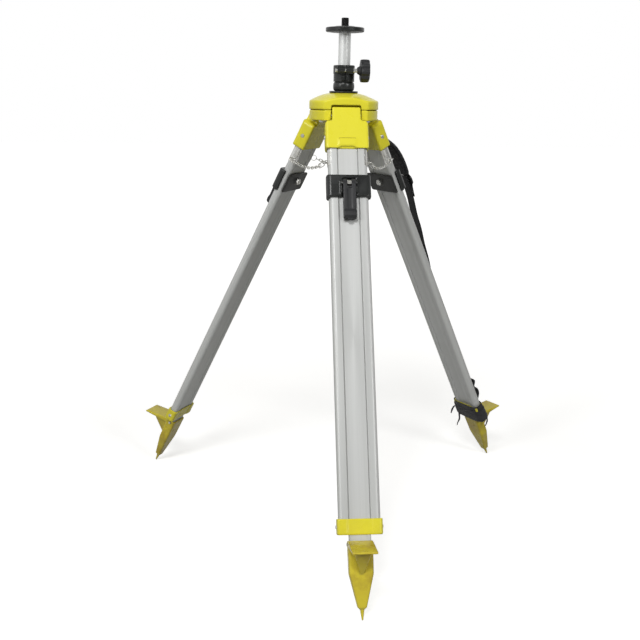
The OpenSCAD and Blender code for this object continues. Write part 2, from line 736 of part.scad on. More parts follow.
// Cam lever with deep side walls, drawn closed: it swings outwards about its pin
module lever(k) {
  n0 = band_n + 0.4;
  n1 = lever_n + 4.5;
  s1 = bolt_s + lever_len;
  grip = 13;
  wall = 3;
  skirt_n = leg_t / 2 + 0.8;
  skirt_s = clamp_top + clamp_h + 5;
  top = [for (i = [0 : 6]) let (a = 20 + i * 23) [lever_n - cam_r * cos(a), bolt_s - cam_r * sin(a)]];
  color(black) leg_place(k) difference() {
    union() {
      across_leg(lever_w, concat(top, [[n1 + 0.8, bolt_s + 4], [n1, bolt_s + 24], [n1 - 0.8, s1 - grip - 6],
        [n1 + 0.6, s1 - grip - 1], [n1 + 0.6, s1 - 5], [n1 - 0.6, s1 - 1.8], [n1 - 3.5, s1], [skirt_n + 3, s1],
        [skirt_n + 0.8, s1 - 1.2], [skirt_n, s1 - 4], [skirt_n, skirt_s + 3], [skirt_n + 2, skirt_s],
        [n0, skirt_s], [n0, bolt_s + 12], [lever_n - cam_r * cos(20), bolt_s + 4]]));
      for (i = [0 : 3]) translate([0, -(n1 + 0.5), -(s1 - 5 - i * 2.6)]) x_rod(0.9, lever_w - 1.5);
      across_leg(10, [[n1 - 6, s1 - 2], [n1 - 2, s1 - 2], [n1 - 3, s1 + 5], [n1 - 6, s1 + 5]]);
    }
    translate([0, -lever_n, -bolt_s]) x_rod(lever_bore / 2, lever_w + 2);
    translate([-4.5, -(lever_n + cam_r + 4), -(bolt_s + 8)]) cube([9, 2 * cam_r + 8, 20]);
    translate([-5, -(n1 + 6), -(s1 - grip - 4)]) cube([10, 7.2, lever_len - grip - 16]);
    translate([-lever_w / 2 + wall, -(n1 - wall - 1), -(s1 - wall)])
      cube([lever_w - 2 * wall, n1, s1 - wall - skirt_s + 1]);
  }
}

// Tapered foot with its step, gusset, socket and point

module foot_section(s, w, t, r) {
  along_leg(s, s + 0.5) round_rect(w, t, r, $fn = 32);
}

module foot(k) {
  t0 = 25;
  s0 = foot_top;
  s1 = s0 + 62;
  s2 = leg_len - 23;
  n0 = t0 / 2 - 2;
  n1 = tread_reach;
  color(yellow) leg_place(k) difference() {
    union() {
      hull() {
        foot_section(s0, foot_w, t0, 4);
        foot_section(s1, foot_w - 1.5, t0 - 1, 5);
      }
      hull() {
        foot_section(s1, foot_w - 1.5, t0 - 1, 5);
        foot_section(s2, 18, 15, 4);
      }
      hull() {
        foot_section(s2, 18, 15, 4);
        foot_section(s2 + 2.5, 11.5, 11, 4);
      }
      translate([0, 0, -leg_len]) {
        cylinder(r1 = tip_r, r2 = 4.8, h = 22);
        sphere(tip_r, $fn = 32);
      }
      across_leg(foot_w, [[n0, s0 + 1], [n0 + 3, s0 + 1], [n1 - 1.5, s0 + tread_drop], [n1, s0 + tread_drop + 1.2],
        [n1, s0 + tread_drop + tread_t - 0.6], [n1 - 1, s0 + tread_drop + tread_t],
        [n0, s0 + tread_t + 8]]);
      hull() {
        translate([-16.5, -(n1 - 22), -(s0 + tread_drop)]) cube([33, n1 - 22 - n0, 1]);
        translate([-4, -(t0 / 2), -(s1 + 1)]) cube([8, 2, 1]);
      }
    }
    along_leg(s0 - 1, bar_bot) bar_outline();
    translate([0, 0, -foot_pin_s]) x_rod(foot_pin_d / 2, foot_w + 2);
    mirror_x() translate([foot_w / 2, -4, -(s0 + 24)]) cube([3, 7, 14], center = true);
  }
}

module foot_pin(k) {
  color(steel) leg_place(k) translate([0, 0, -foot_pin_s]) x_rod(foot_pin_d / 2, foot_w + 3);
}

// Chains: each hangs as a catenary between the eyes of two legs

function eye_point(k, side) = let (x = side * (leg_w / 2 + eye_out),
  y = -hinge_r - eye_s * sin(spread), z = hinge_z - eye_s * cos(spread), a = 120 * k)
  [x * cos(a) - y * sin(a), x * sin(a) + y * cos(a), z];
function sinh(v) = (exp(v) - exp(-v)) / 2;
function cosh(v) = (exp(v) + exp(-v)) / 2;
function asinh(v) = ln(v + sqrt(v * v + 1));
function cat_a(span, len, lo, hi, n) = let (m = (lo + hi) / 2)
  n == 0 ? m : 2 * m * sinh(span / 2 / m) > len ? cat_a(span, len, m, hi, n - 1) : cat_a(span, len, lo, m, n - 1);

ring_len = 13;
hook_len = 20;
end_wire = 2;
link_play = 0.5;
hang = eye_r - eye_wire / 2 + link_play / 2 - 0.35;
chain_len = norm(eye_point(1, -1) - eye_point(0, 1)) + chain_slack;
links_len = chain_len - ring_len - hook_len - 2 * hang;
link_count = 2 * round((links_len / link_pitch - 1) / 2) + 1;

// A closed ring of wire, len long between its inner ends and w wide across its wire's centres
module wire_link(len, w, wire) {
  straight = len + wire - w;
  for (side = [-1, 1]) {
    translate([side * straight / 2, 0, 0]) rotate([0, 0, side * 90 - 180]) rotate_extrude(angle = 180, $fn = 32)
      translate([w / 2, 0]) circle(wire / 2, $fn = wire_fn);
    translate([-straight / 2, side * w / 2, 0]) rotate([0, 90, 0]) cylinder(r = wire / 2, h = straight, $fn = wire_fn);
  }
}

module chain(k) {
  p = eye_point(k, 1);
  q = eye_point((k + 1) % 3, -1);
  span = norm(q - p);
  heading = atan2(q[1] - p[1], q[0] - p[0]);
  a = cat_a(span, chain_len, 20, 2000, 40);
  ends = k == 2 ? [ring_len, hook_len] : [hook_len, ring_len];
  sizes = concat([ends[0]], [for (i = [1 : link_count]) links_len / link_count], [ends[1]]);
  starts = [for (i = 0, at = hang; i < len(sizes); at = at + sizes[i], i = i + 1) at];
  color(steel) for (i = [0 : len(sizes) - 1]) {
    mid = starts[i] + sizes[i] / 2 - chain_len / 2;
    x = a * asinh(mid / a);
    z = a * (cosh(x / a) - cosh(span / 2 / a));
    inner = sizes[i] + link_play;
    translate(p + [(span / 2 + x) * cos(heading), (span / 2 + x) * sin(heading), z])
      rotate([0, 0, heading]) rotate([0, -atan(mid / a), 0]) rotate([i % 2 == 0 ? 90 : 0, 0, 0]) {
        if (sizes[i] == ring_len) wire_link(inner, ring_len - 1, end_wire);
        else if (sizes[i] == hook_len) wire_link(inner, 9, end_wire);
        else wire_link(inner, 5, link_wire);
      }
  }
}

// Carrying strap on the right leg, drawn as [outward, down] points of its middle line

strap_k = 1;
web_t = 2;
web_n = band_n + 1.6 + web_t / 2;
wrap_t = 3.5;
wrap_n = leg_t / 2 + end_cap_wall - 0.5 + 0.4 + wrap_t;
wrap_bot = end_cap_bot + 8;
pad_line = [[21.1, 66], [31, 90], [36.5, 106], [40.5, 123], [43, 140], [43.5, 156], [42.8, 178.2]];
slider_n = 43.5;
slider_s = 194.5;
slider_t = 9;
web_line = [[slider_n - 0.3 - web_t / 2, slider_s - 10], [slider_n - 0.3 - web_t / 2, slider_s + 11], [41, 226], [38.5, 250],
  [36.7, 275], [33.7, 316], [30.5, 345], [27.5, 370], [24.5, 400], [21.5, 430], [web_n, 460], [web_n, 800],
  [web_n + 5, 812], [web_n + 6, 824], [web_n + 3, 836], [wrap_n + 1.3, 850], [wrap_n + 1.3, 872]];

// A band swept along [outward, down] points, with its thickness measured outwards
module band_along(points, width, thick) {
  across_leg(width, concat([for (p = points) [p[0] - thick / 2, p[1]]],
    [for (i = [len(points) - 1 : -1 : 0]) [points[i][0] + thick / 2, points[i][1]]]));
}

module strap_pad() {
  color(web_black) leg_place(strap_k) {
    for (i = [0 : len(pad_line) - 2]) {
      fat = 10;
      hull() for (p = [pad_line[i], pad_line[i + 1]]) translate([0, -p[0], -p[1]]) {
        x_rod(fat / 2, pad_w - 12, $fn = 24);
        x_rod(fat / 4, pad_w, $fn = 24);
      }
    }
  }
}

module strap_slider() {
  color(black) leg_place(strap_k) translate([0, -slider_n, -slider_s]) difference() {
    rotate([90, 0, 0]) linear_extrude(slider_t) round_rect(web_w + 14, 22, 3);
    for (z = [-5.5, 5.5]) translate([-web_w / 2 - 1, -10, z - 2]) cube([web_w + 2, 20, 4]);
  }
}

// The webbing down the leg's outer face, its turns round the end cap and the loose ends
module strap_webbing() {
  w = end_cap_w + 5;
  t = 2 * (wrap_n - wrap_t);
  color(web_black) leg_place(strap_k) {
    band_along(web_line, web_w, web_t);
    difference() {
      along_leg(end_cap_top + 5, wrap_bot) round_rect(w + 2 * wrap_t, t + 2 * wrap_t, 9);
      along_leg(end_cap_top, wrap_bot + 1) round_rect(w, t, 6);
    }
  }
}

head_dome();
hinge_caps();
cap_bolts();
hinge_pins();
collar_body();
height_ring();
clamp_ring();
clamp_screw();
clamp_knob();
column_bush();
column_tube();
column_stop();
platform_disc();
instrument_stud();
shoulder(0);  // shoulder_front
rails(0);  // rails_front
end_cap(0);  // end_cap_front
leg_screws(0);  // leg_screws_front
chain_eyes(0);  // chain_eyes_front
centre_bar(0);  // centre_bar_front
clamp_band(0);  // clamp_band_front
clamp_plate(0);  // clamp_plate_front
clamp_bolt(0);  // clamp_bolt_front
lever_pin(0);  // lever_pin_front
lever(0);  // lever_front
foot(0);  // foot_front
foot_pin(0);  // foot_pin_front
shoulder(1);  // shoulder_right
rails(1);  // rails_right
end_cap(1);  // end_cap_right
leg_screws(1);  // leg_screws_right
chain_eyes(1);  // chain_eyes_right
centre_bar(1);  // centre_bar_right
clamp_band(1);  // clamp_band_right
clamp_plate(1);  // clamp_plate_right
clamp_bolt(1);  // clamp_bolt_right
lever_pin(1);  // lever_pin_right
lever(1);  // lever_right
foot(1);  // foot_right
foot_pin(1);  // foot_pin_right
shoulder(2);  // shoulder_left
rails(2);  // rails_left
end_cap(2);  // end_cap_left
leg_screws(2);  // leg_screws_left
chain_eyes(2);  // chain_eyes_left
centre_bar(2);  // centre_bar_left
clamp_band(2);  // clamp_band_left
clamp_plate(2);  // clamp_plate_left
clamp_bolt(2);  // clamp_bolt_left
lever_pin(2);  // lever_pin_left
lever(2);  // lever_left
foot(2);  // foot_left
foot_pin(2);  // foot_pin_left
chain(0);  // chain_right
chain(1);  // chain_rear
chain(2);  // chain_left
strap_pad();
strap_slider();
strap_webbing();
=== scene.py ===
"""Looks of the surveying tripod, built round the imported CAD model. Lengths are in metres."""

import json
import math

import bmesh
import bpy
from mathutils import Matrix, Vector
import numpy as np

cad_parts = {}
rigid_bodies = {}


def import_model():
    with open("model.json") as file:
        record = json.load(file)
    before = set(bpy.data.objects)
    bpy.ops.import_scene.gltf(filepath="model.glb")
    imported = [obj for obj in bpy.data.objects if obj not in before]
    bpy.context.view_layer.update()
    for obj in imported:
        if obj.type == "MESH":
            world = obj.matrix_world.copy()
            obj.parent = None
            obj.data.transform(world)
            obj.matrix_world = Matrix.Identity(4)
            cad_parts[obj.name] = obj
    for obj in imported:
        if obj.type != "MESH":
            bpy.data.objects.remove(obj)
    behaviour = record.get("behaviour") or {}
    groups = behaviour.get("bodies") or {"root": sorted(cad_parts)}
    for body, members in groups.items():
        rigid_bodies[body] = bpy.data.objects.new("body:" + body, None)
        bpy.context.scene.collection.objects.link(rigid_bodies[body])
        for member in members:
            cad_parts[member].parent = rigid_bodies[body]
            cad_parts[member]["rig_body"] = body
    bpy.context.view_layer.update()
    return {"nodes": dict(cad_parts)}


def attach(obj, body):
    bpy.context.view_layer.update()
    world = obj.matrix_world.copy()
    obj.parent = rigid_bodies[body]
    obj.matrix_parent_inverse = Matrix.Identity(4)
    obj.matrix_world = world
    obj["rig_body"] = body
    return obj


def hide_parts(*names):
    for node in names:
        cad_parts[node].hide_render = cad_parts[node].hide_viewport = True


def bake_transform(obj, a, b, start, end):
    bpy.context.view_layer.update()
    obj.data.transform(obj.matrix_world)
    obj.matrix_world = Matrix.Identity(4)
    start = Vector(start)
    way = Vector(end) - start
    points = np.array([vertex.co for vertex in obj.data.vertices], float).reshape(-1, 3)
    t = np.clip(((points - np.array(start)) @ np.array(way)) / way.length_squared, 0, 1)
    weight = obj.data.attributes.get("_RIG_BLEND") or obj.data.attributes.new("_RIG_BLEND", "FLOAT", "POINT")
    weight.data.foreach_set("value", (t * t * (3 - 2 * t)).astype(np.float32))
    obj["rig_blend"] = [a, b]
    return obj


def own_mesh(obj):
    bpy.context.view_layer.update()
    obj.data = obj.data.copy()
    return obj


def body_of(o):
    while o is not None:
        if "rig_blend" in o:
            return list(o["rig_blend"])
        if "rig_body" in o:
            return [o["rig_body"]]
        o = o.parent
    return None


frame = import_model()
NODES = frame["nodes"]

# Stance, as in the CAD source
LEG_LEN = 1.031
SPREAD = math.radians(27.5)
HINGE_R = 0.052
HINGE_Z = LEG_LEN * math.cos(SPREAD) + 0.002
RIM_Z = HINGE_Z + 0.0315
LEGS = {"front": 0, "right": 1, "left": 2}


def leg_matrix(leg):
    """From a leg's local frame (across, inwards, up the leg) to the row frame."""
    return (
        Matrix.Rotation(math.radians(120 * LEGS[leg]), 4, "Z")
        @ Matrix.Translation((0, -HINGE_R, HINGE_Z))
        @ Matrix.Rotation(-SPREAD, 4, "X")
    )


# Camera

CAMERA_AT = (-0.2288, -1.9975, RIM_Z + 0.0235)
CAMERA_TURN = (0.2918, -0.0822, 0.0153)
FOCAL_PX = 891.0
CENTRE_PX = (314.0, 354.8)
FRAME_PX = 640


def add_camera():
    camera = bpy.data.objects.new("camera", bpy.data.cameras.new("camera"))
    bpy.context.scene.collection.objects.link(camera)
    x, y, z = CAMERA_TURN
    turn = (
        Matrix.Rotation(x, 3, "X")
        @ Matrix.Rotation(y, 3, "Y")
        @ Matrix.Rotation(z, 3, "Z")
        @ Matrix(((1, 0, 0), (0, 0, -1), (0, 1, 0)))
    )
    to_blender = Matrix(((1, 0, 0), (0, -1, 0), (0, 0, -1)))
    camera.matrix_world = Matrix.Translation(CAMERA_AT) @ (to_blender @ turn).transposed().to_4x4()
    data = camera.data
    data.sensor_width = 36
    data.lens = FOCAL_PX / FRAME_PX * data.sensor_width
    data.shift_x = (FRAME_PX / 2 - CENTRE_PX[0]) / FRAME_PX
    data.shift_y = (CENTRE_PX[1] - FRAME_PX / 2) / FRAME_PX
    data.clip_end = 50
    bpy.context.scene.camera = camera


# Materials

BEVEL_SAMPLES, CREVICE_SAMPLES = 4, 6


class Shader:
    """A Principled material that is built up node by node."""

    def __init__(self, name, colour, metallic=0.0, roughness=0.5, **sockets):
        self.material = bpy.data.materials.new(name)
        self.material.use_nodes = True
        self.tree = self.material.node_tree
        self.bsdf = self.tree.nodes["Principled BSDF"]
        self.bsdf.inputs["Base Color"].default_value = (*colour, 1)
        self.bsdf.inputs["Metallic"].default_value = metallic
        self.bsdf.inputs["Roughness"].default_value = roughness
        for socket, value in sockets.items():
            self.bsdf.inputs[socket.replace("_", " ")].default_value = value
        self.height = None
        self.normal = None

    def node(self, kind, settings=None, **links):
        made = self.tree.nodes.new("ShaderNode" + kind)
        for key, value in (settings or {}).items():
            setattr(made, key, value)
        for key, value in links.items():
            self.put(made, key, value)
        return made

    def put(self, made, key, value):
        socket = made.inputs[int(key[1:])] if key[0] == "_" else made.inputs[key.replace("_", " ")]
        if isinstance(value, bpy.types.NodeSocket):
            self.tree.links.new(value, socket)
        else:
            socket.default_value = value

    def coords(self, scale, rotation):
        source = self.node("TexCoord").outputs["Object"]
        mapping = self.node("Mapping", {"vector_type": "TEXTURE"}, Vector=source, Rotation=rotation)
        scaled = self.node("Mapping", Vector=mapping.outputs[0], Scale=scale)
        return scaled.outputs[0]

    def noise(self, scale, detail=3.0, roughness=0.5, vector=None):
        links = {"Scale": scale, "Detail": detail, "Roughness": roughness}
        if vector is not None:
            links["Vector"] = vector
        else:
            links["Vector"] = self.node("TexCoord").outputs["Object"]
        return self.node("TexNoise", **links).outputs["Fac"]

    def ramp(self, value, low, high, out_low=0.0, out_high=1.0):
        made = self.node("MapRange", Value=value)
        for index, number in ((1, low), (2, high), (3, out_low), (4, out_high)):
            made.inputs[index].default_value = number
        return made.outputs[0]

    def math(self, operation, a, b=0.0):
        return self.node("Math", {"operation": operation}, _0=a, _1=b).outputs[0]

    def mix(self, factor, a, b):
        made = self.node("Mix", {"data_type": "RGBA"}, _0=factor)
        for index, value in ((6, a), (7, b)):
            if isinstance(value, bpy.types.NodeSocket):
                self.tree.links.new(value, made.inputs[index])
            else:
                made.inputs[index].default_value = (*value, 1)
        return made.outputs[2]

    def colour(self, value):
        self.tree.links.new(value, self.bsdf.inputs["Base Color"])

    def roughness(self, value):
        self.tree.links.new(value, self.bsdf.inputs["Roughness"])

    def rounded_edges(self, radius):
        made = self.node("Bevel", {"samples": BEVEL_SAMPLES}, Radius=radius)
        self.normal = made.outputs[0]

    def edge_mask(self, radius):
        """Near 1 on sharp edges and 0 on open faces."""
        bevel = self.node("Bevel", {"samples": BEVEL_SAMPLES}, Radius=radius)
        geometry = self.node("NewGeometry")
        dot = self.node("VectorMath", {"operation": "DOT_PRODUCT"}, _0=bevel.outputs[0], _1=geometry.outputs["Normal"])
        return self.ramp(dot.outputs["Value"], 0.995, 0.8)

    def painted_crevice_shade(self, reach):
        """Near 1 in gaps and tight corners, and 0 in the open. The yellow enamel darkens these places towards brown as
        painted shade.
        """
        shade = self.node("AmbientOcclusion", {"samples": CREVICE_SAMPLES}, Distance=reach)
        return self.ramp(shade.outputs["AO"], 0.75, 0.25)

    def bump(self, value, strength, distance):
        links = {"Height": value, "Strength": strength, "Distance": distance}
        if self.normal is not None:
            links["Normal"] = self.normal
        self.normal = self.node("Bump", **links).outputs[0]

    def done(self):
        if self.normal is not None:
            self.tree.links.new(self.normal, self.bsdf.inputs["Normal"])
        return self.material


def yellow_enamel(name, light, dark, soil, soiled=0.0):
    """Gloss enamel. soil is the colour of worn and dirty patches, soiled how far they cover."""
    s = Shader(name, light, roughness=0.3, Specular_IOR_Level=0.25, Coat_Weight=0.15, Coat_Roughness=0.1)
    cloud = s.noise(9, 4)
    fine = s.noise(120, 5, 0.6)
    base = s.mix(s.ramp(cloud, 0.35, 0.65), light, dark)
    base = s.mix(s.ramp(s.noise(24, 5, 0.62), 0.46, 0.66, 0, soiled), base, soil)
    dusty = s.mix(s.ramp(fine, 0.62, 0.8, 0, 0.22), base, soil)
    edge = s.math("MULTIPLY", s.edge_mask(0.0012), s.ramp(s.noise(260, 3), 0.42, 0.62))
    worn = s.mix(s.math("MULTIPLY", edge, 0.4), dusty, (0.92, 0.86, 0.20))
    # Gaps and tight corners are darkened towards dark brown: painted shade.
    s.colour(s.mix(s.math("MULTIPLY", s.painted_crevice_shade(0.007), 0.95), worn, (0.10, 0.07, 0.008)))
    s.roughness(s.ramp(s.noise(35, 4), 0.3, 0.7, 0.22, 0.36))
    s.rounded_edges(0.0011)
    s.bump(s.noise(420, 2), 0.10, 0.0003)
    s.bump(s.noise(70, 3), 0.12, 0.0006)
    return s.done()


def anodised(name, turn, spin, tone=1.0, metal=0.2):
    """Drawn aluminium: fine die lines run along the leg, or up the column."""
    s = Shader(name, (0.60, 0.61, 0.60), metallic=metal, roughness=0.45, Anisotropic=0.3, Specular_IOR_Level=0.3)
    along = s.coords(scale=(1, 1, 0.012), rotation=(turn, 0, spin))
    lines = s.noise(900, 3, 0.6, vector=along)
    broad = s.noise(60, 2, 0.5, vector=along)
    stain = s.noise(14, 4)
    light = tuple(c * tone for c in (0.66, 0.67, 0.665))
    dark = tuple(c * tone for c in (0.55, 0.56, 0.55))
    base = s.mix(s.ramp(broad, 0.3, 0.7), light, dark)
    base = s.mix(s.ramp(lines, 0.35, 0.75, 0, 0.35), base, dark)
    base = s.mix(s.ramp(stain, 0.6, 0.8, 0, 0.25), base, tuple(c * tone for c in (0.48, 0.485, 0.46)))
    s.colour(base)
    s.roughness(s.ramp(lines, 0.2, 0.8, 0.34, 0.48))
    s.rounded_edges(0.0006)
    s.bump(lines, 0.08, 0.0002)
    return s.done()


def black_paint(name, colour=(0.022, 0.024, 0.025), roughness=0.34, bumpy=0.25):
    s = Shader(name, colour, roughness=roughness, Specular_IOR_Level=0.4)
    fine = s.noise(700, 3, 0.6)
    cloud = s.noise(25, 4)
    lighter = tuple(c * 2.2 + 0.01 for c in colour)
    base = s.mix(s.ramp(cloud, 0.4, 0.7, 0, 0.6), colour, tuple(c * 1.5 for c in colour))
    worn = s.math("MULTIPLY", s.edge_mask(0.0009), s.ramp(s.noise(180, 3), 0.4, 0.65))
    s.colour(s.mix(s.math("MULTIPLY", worn, 0.55), base, tuple(c + 0.05 for c in lighter)))
    s.roughness(s.ramp(cloud, 0.3, 0.7, roughness - 0.06, roughness + 0.1))
    s.rounded_edges(0.0009)
    s.bump(fine, bumpy, 0.00025)
    return s.done()


def zinc_steel(name, colour=(0.52, 0.52, 0.50), roughness=0.28):
    s = Shader(name, colour, metallic=1.0, roughness=roughness)
    cloud = s.noise(60, 4)
    warm = tuple(c * f for c, f in zip(colour, (0.93, 0.88, 0.78)))
    s.colour(s.mix(s.ramp(cloud, 0.45, 0.75, 0, 0.5), colour, warm))
    s.roughness(s.ramp(s.noise(200, 3), 0.3, 0.7, roughness - 0.06, roughness + 0.12))
    s.rounded_edges(0.0005)
    s.bump(s.noise(600, 2), 0.1, 0.0002)
    return s.done()


def woven(name, colour, thread, kind="UV", lift=0.5):
    """Webbing or cloth whose threads cross at thread metres, in the piece's own UVs, which are in metres."""
    s = Shader(name, colour, roughness=0.82, Sheen_Weight=0.25, Sheen_Roughness=0.4)
    source = s.node("TexCoord").outputs[kind]
    split = s.node("SeparateXYZ", Vector=source)
    turns = 2 * math.pi / thread
    across = s.math("SINE", s.math("MULTIPLY", split.outputs[0], turns))
    along = s.math("SINE", s.math("MULTIPLY", split.outputs[1], turns * 0.7))
    cross = s.math("MULTIPLY", across, along)
    height = s.ramp(cross, -1, 1)
    light = tuple(c * 2.4 + 0.004 for c in colour)
    fuzz = s.noise(900, 3)
    base = s.mix(s.ramp(cross, -0.4, 1, 0, 0.7), colour, light)
    s.colour(s.mix(s.ramp(fuzz, 0.45, 0.75, 0, 0.4), base, light))
    s.bump(height, lift, 0.0005)
    s.bump(fuzz, 0.2, 0.0002)
    return s.done()


YELLOW = yellow_enamel("yellow_enamel", (0.94, 0.865, 0.05), (0.90, 0.815, 0.042), (0.66, 0.57, 0.05))
# A much darker yellow for the panel ridges on the shoulders: painted shade along the panel's edge.
YELLOW_SHADE_LINE = yellow_enamel("yellow_enamel_shaded_ridge", (0.52, 0.45, 0.03), (0.45, 0.38, 0.028), (0.40, 0.33, 0.03))
# The end caps' copy is a little darker as painted shade lower down the leg, and has a few real dirty patches.
YELLOW_CAP_SHADED = yellow_enamel("yellow_enamel_low_shaded", (0.90, 0.815, 0.05), (0.85, 0.75, 0.042), (0.60, 0.50, 0.05), 0.2)
# The feet's copy is darker and more olive, partly as painted shade low down and partly as real dirt, with many dirty
# patches.
YELLOW_FOOT_SHADE_AND_DIRT = yellow_enamel("yellow_enamel_feet_shade_and_dirt", (0.78, 0.66, 0.052), (0.69, 0.56, 0.045), (0.42, 0.28, 0.045), 0.6)
ALU = {leg: anodised("anodised_" + leg, -SPREAD, math.radians(120 * k)) for leg, k in LEGS.items()}
ALU["column"] = anodised("anodised_column", 0, 0, 1.22, 0.5)
CASTING = black_paint("black_casting", (0.012, 0.0135, 0.013), 0.27)
PLATE = black_paint("black_plate", (0.010, 0.0105, 0.009), 0.5)
PLASTIC = black_paint("black_plastic", (0.012, 0.0125, 0.014), 0.42, 0.35)
STEEL = zinc_steel("zinc_steel")
BLACK_STEEL = zinc_steel("blackened_steel", (0.045, 0.045, 0.047), 0.36)
WEB = woven("webbing", (0.010, 0.010, 0.012), 0.0021)
PAD_CLOTH = woven("pad_cloth", (0.009, 0.009, 0.011), 0.0012)
THREAD = woven("thread", (0.014, 0.014, 0.016), 0.0008, "Object")

CARRIED = {
    "head_dome": YELLOW, "hinge_caps": YELLOW, "shoulder": YELLOW, "end_cap": YELLOW_CAP_SHADED, "foot": YELLOW_FOOT_SHADE_AND_DIRT,
    "cap_bolts": STEEL, "hinge_pins": STEEL, "clamp_screw": STEEL, "leg_screws": STEEL,
    "chain_eyes": STEEL, "clamp_bolt": STEEL, "lever_pin": STEEL, "foot_pin": STEEL, "chain": STEEL,
    "collar_body": CASTING, "height_ring": CASTING, "clamp_ring": CASTING, "platform_disc": CASTING,
    "clamp_band": CASTING, "clamp_plate": PLATE, "lever": PLASTIC,
    "clamp_knob": PLASTIC, "column_bush": PLASTIC, "column_stop": PLASTIC, "strap_slider": PLASTIC,
    "strap_pad": PAD_CLOTH, "strap_webbing": WEB, "instrument_stud": BLACK_STEEL,
    "column_tube": ALU["column"],
}


def dress_cad():
    for name, obj in NODES.items():
        stem, _, tail = name.rpartition("_")
        if tail not in (*LEGS, "rear"):
            stem, tail = name, ""
        material = ALU[tail] if stem in ("rails", "centre_bar") else CARRIED[stem]
        obj.data.materials.clear()
        obj.data.materials.append(material)


# Mesh building


def leg_point(leg, across, out, down):
    """A point in the row frame from a leg's distances: across it, outwards and down from the hinge pin, in mm."""
    return leg_matrix(leg) @ Vector((across / 1000, -out / 1000, -down / 1000))


def leg_axes(leg):
    """The across, outward and downward directions of a leg."""
    m = leg_matrix(leg).to_3x3()
    return m @ Vector((1, 0, 0)), m @ Vector((0, -1, 0)), m @ Vector((0, 0, -1))


def make_piece(name, verts, faces, material, body, uvs=None, replaces=(), sharp=35):
    mesh = bpy.data.meshes.new(name)
    mesh.from_pydata([tuple(v) for v in verts], [], faces)
    mesh.validate()
    mesh.update()
    if uvs is not None:
        layer = mesh.uv_layers.new(name="UVMap")
        for loop in mesh.loops:
            layer.data[loop.index].uv = uvs[loop.vertex_index]
    obj = bpy.data.objects.new(name, mesh)
    bpy.context.scene.collection.objects.link(obj)
    work = bmesh.new()
    work.from_mesh(mesh)
    bmesh.ops.recalc_face_normals(work, faces=work.faces)
    work.to_mesh(mesh)
    work.free()
    mesh.shade_smooth()
    mesh.set_sharp_from_angle(angle=math.radians(sharp))
    mesh.materials.append(material)
    if body:
        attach(obj, body)
    if replaces:
        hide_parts(*replaces)
    return obj


def grid_faces(rows, columns, wrap_rows=False, wrap_columns=True, start=0):
    """Quads over rows of columns points each."""
    faces = []
    for r in range(rows if wrap_rows else rows - 1):
        for c in range(columns if wrap_columns else columns - 1):
            near, far = start + r * columns, start + (r + 1) % rows * columns
            c2 = (c + 1) % columns
            faces.append((near + c, near + c2, far + c2, far + c))
    return faces


def lathe(profile, steps, matrix, shape):
    """Points and faces of a profile of (radius, height) pairs turned about Z. shape changes a radius by angle."""
    verts = []
    for radius, height in profile:
        for step in range(steps):
            angle = 2 * math.pi * step / steps
            r = shape(angle, radius, height)
            verts.append(matrix @ Vector((r * math.cos(angle), r * math.sin(angle), height)))
    faces = grid_faces(len(profile), steps)
    for row in (0, len(profile) - 1):
        faces.append(tuple(row * steps + i for i in range(steps)))
    return verts, faces


def bent(value, power):
    """A sine or cosine drawn towards a square corner, for round-cornered outlines."""
    return math.copysign(abs(value) ** power, value)


def sweep(points, across, widths, thick, sides=16):
    """A flat band along points. across is one direction for each point, widths its width there."""
    verts, uvs = [], []
    run = 0.0
    for i, point in enumerate(points):
        before, after = points[max(i - 1, 0)], points[min(i + 1, len(points) - 1)]
        if i:
            run += (point - points[i - 1]).length
        forward = (after - before).normalized()
        side = across[i].normalized()
        up = side.cross(forward).normalized()
        for k in range(sides):
            a = 2 * math.pi * k / sides
            x = bent(math.cos(a), 2 / 5) * (widths[i] / 2)
            y = bent(math.sin(a), 2 / 2.5) * (thick / 2)
            verts.append(point + side * x + up * y)
            uvs.append((x, run))
    faces = grid_faces(len(points), sides)
    faces.append(tuple(range(sides)))
    faces.append(tuple((len(points) - 1) * sides + k for k in range(sides)))
    return verts, faces, uvs


def smooth_path(points, step):
    """Points every step metres along a Catmull-Rom curve through the given points."""
    dense = []
    padded = [points[0] * 2 - points[1], *points, points[-1] * 2 - points[-2]]
    for i in range(1, len(padded) - 2):
        p0, p1, p2, p3 = padded[i - 1 : i + 3]
        pieces = max(2, int((p2 - p1).length / step * 2))
        for k in range(pieces):
            t = k / pieces
            square, cube = 2 * p0 - 5 * p1 + 4 * p2 - p3, 3 * p1 - p0 - 3 * p2 + p3
            dense.append(0.5 * (2 * p1 + (p2 - p0) * t + square * t * t + cube * t**3))
    dense.append(points[-1].copy())
    out, run = [dense[0]], 0.0
    for a, b in zip(dense, dense[1:]):
        run += (b - a).length
        if run >= step:
            out.append(b)
            run = 0.0
    if (out[-1] - dense[-1]).length > step * 0.3:
        out.append(dense[-1])
    return out


def wire_loop(outline, radius, matrix, sides=8):
    """A closed ring of wire along flat (x, y) points."""
    verts = []
    count = len(outline)
    for i, (x, y) in enumerate(outline):
        ax, ay = outline[i - 1]
        bx, by = outline[(i + 1) % count]
        tangent = Vector((bx - ax, by - ay, 0)).normalized()
        normal = Vector((-tangent.y, tangent.x, 0))
        for k in range(sides):
            a = 2 * math.pi * k / sides
            rise = Vector((0, 0, radius * math.sin(a)))
            verts.append(matrix @ (Vector((x, y, 0)) + normal * radius * math.cos(a) + rise))
    return verts, grid_faces(count, sides, wrap_rows=True)


def stadium(length, width, wire, turns=8):
    """Centre line of a link: length between its inner ends, width between its wires' centres."""
    straight = (length + wire - width) / 2
    outline = []
    for side in (1, -1):
        for i in range(turns + 1):
            a = math.pi * (i / turns - 0.5)
            outline.append((side * (straight + width / 2 * math.cos(a)), side * width / 2 * math.sin(a)))
    return outline


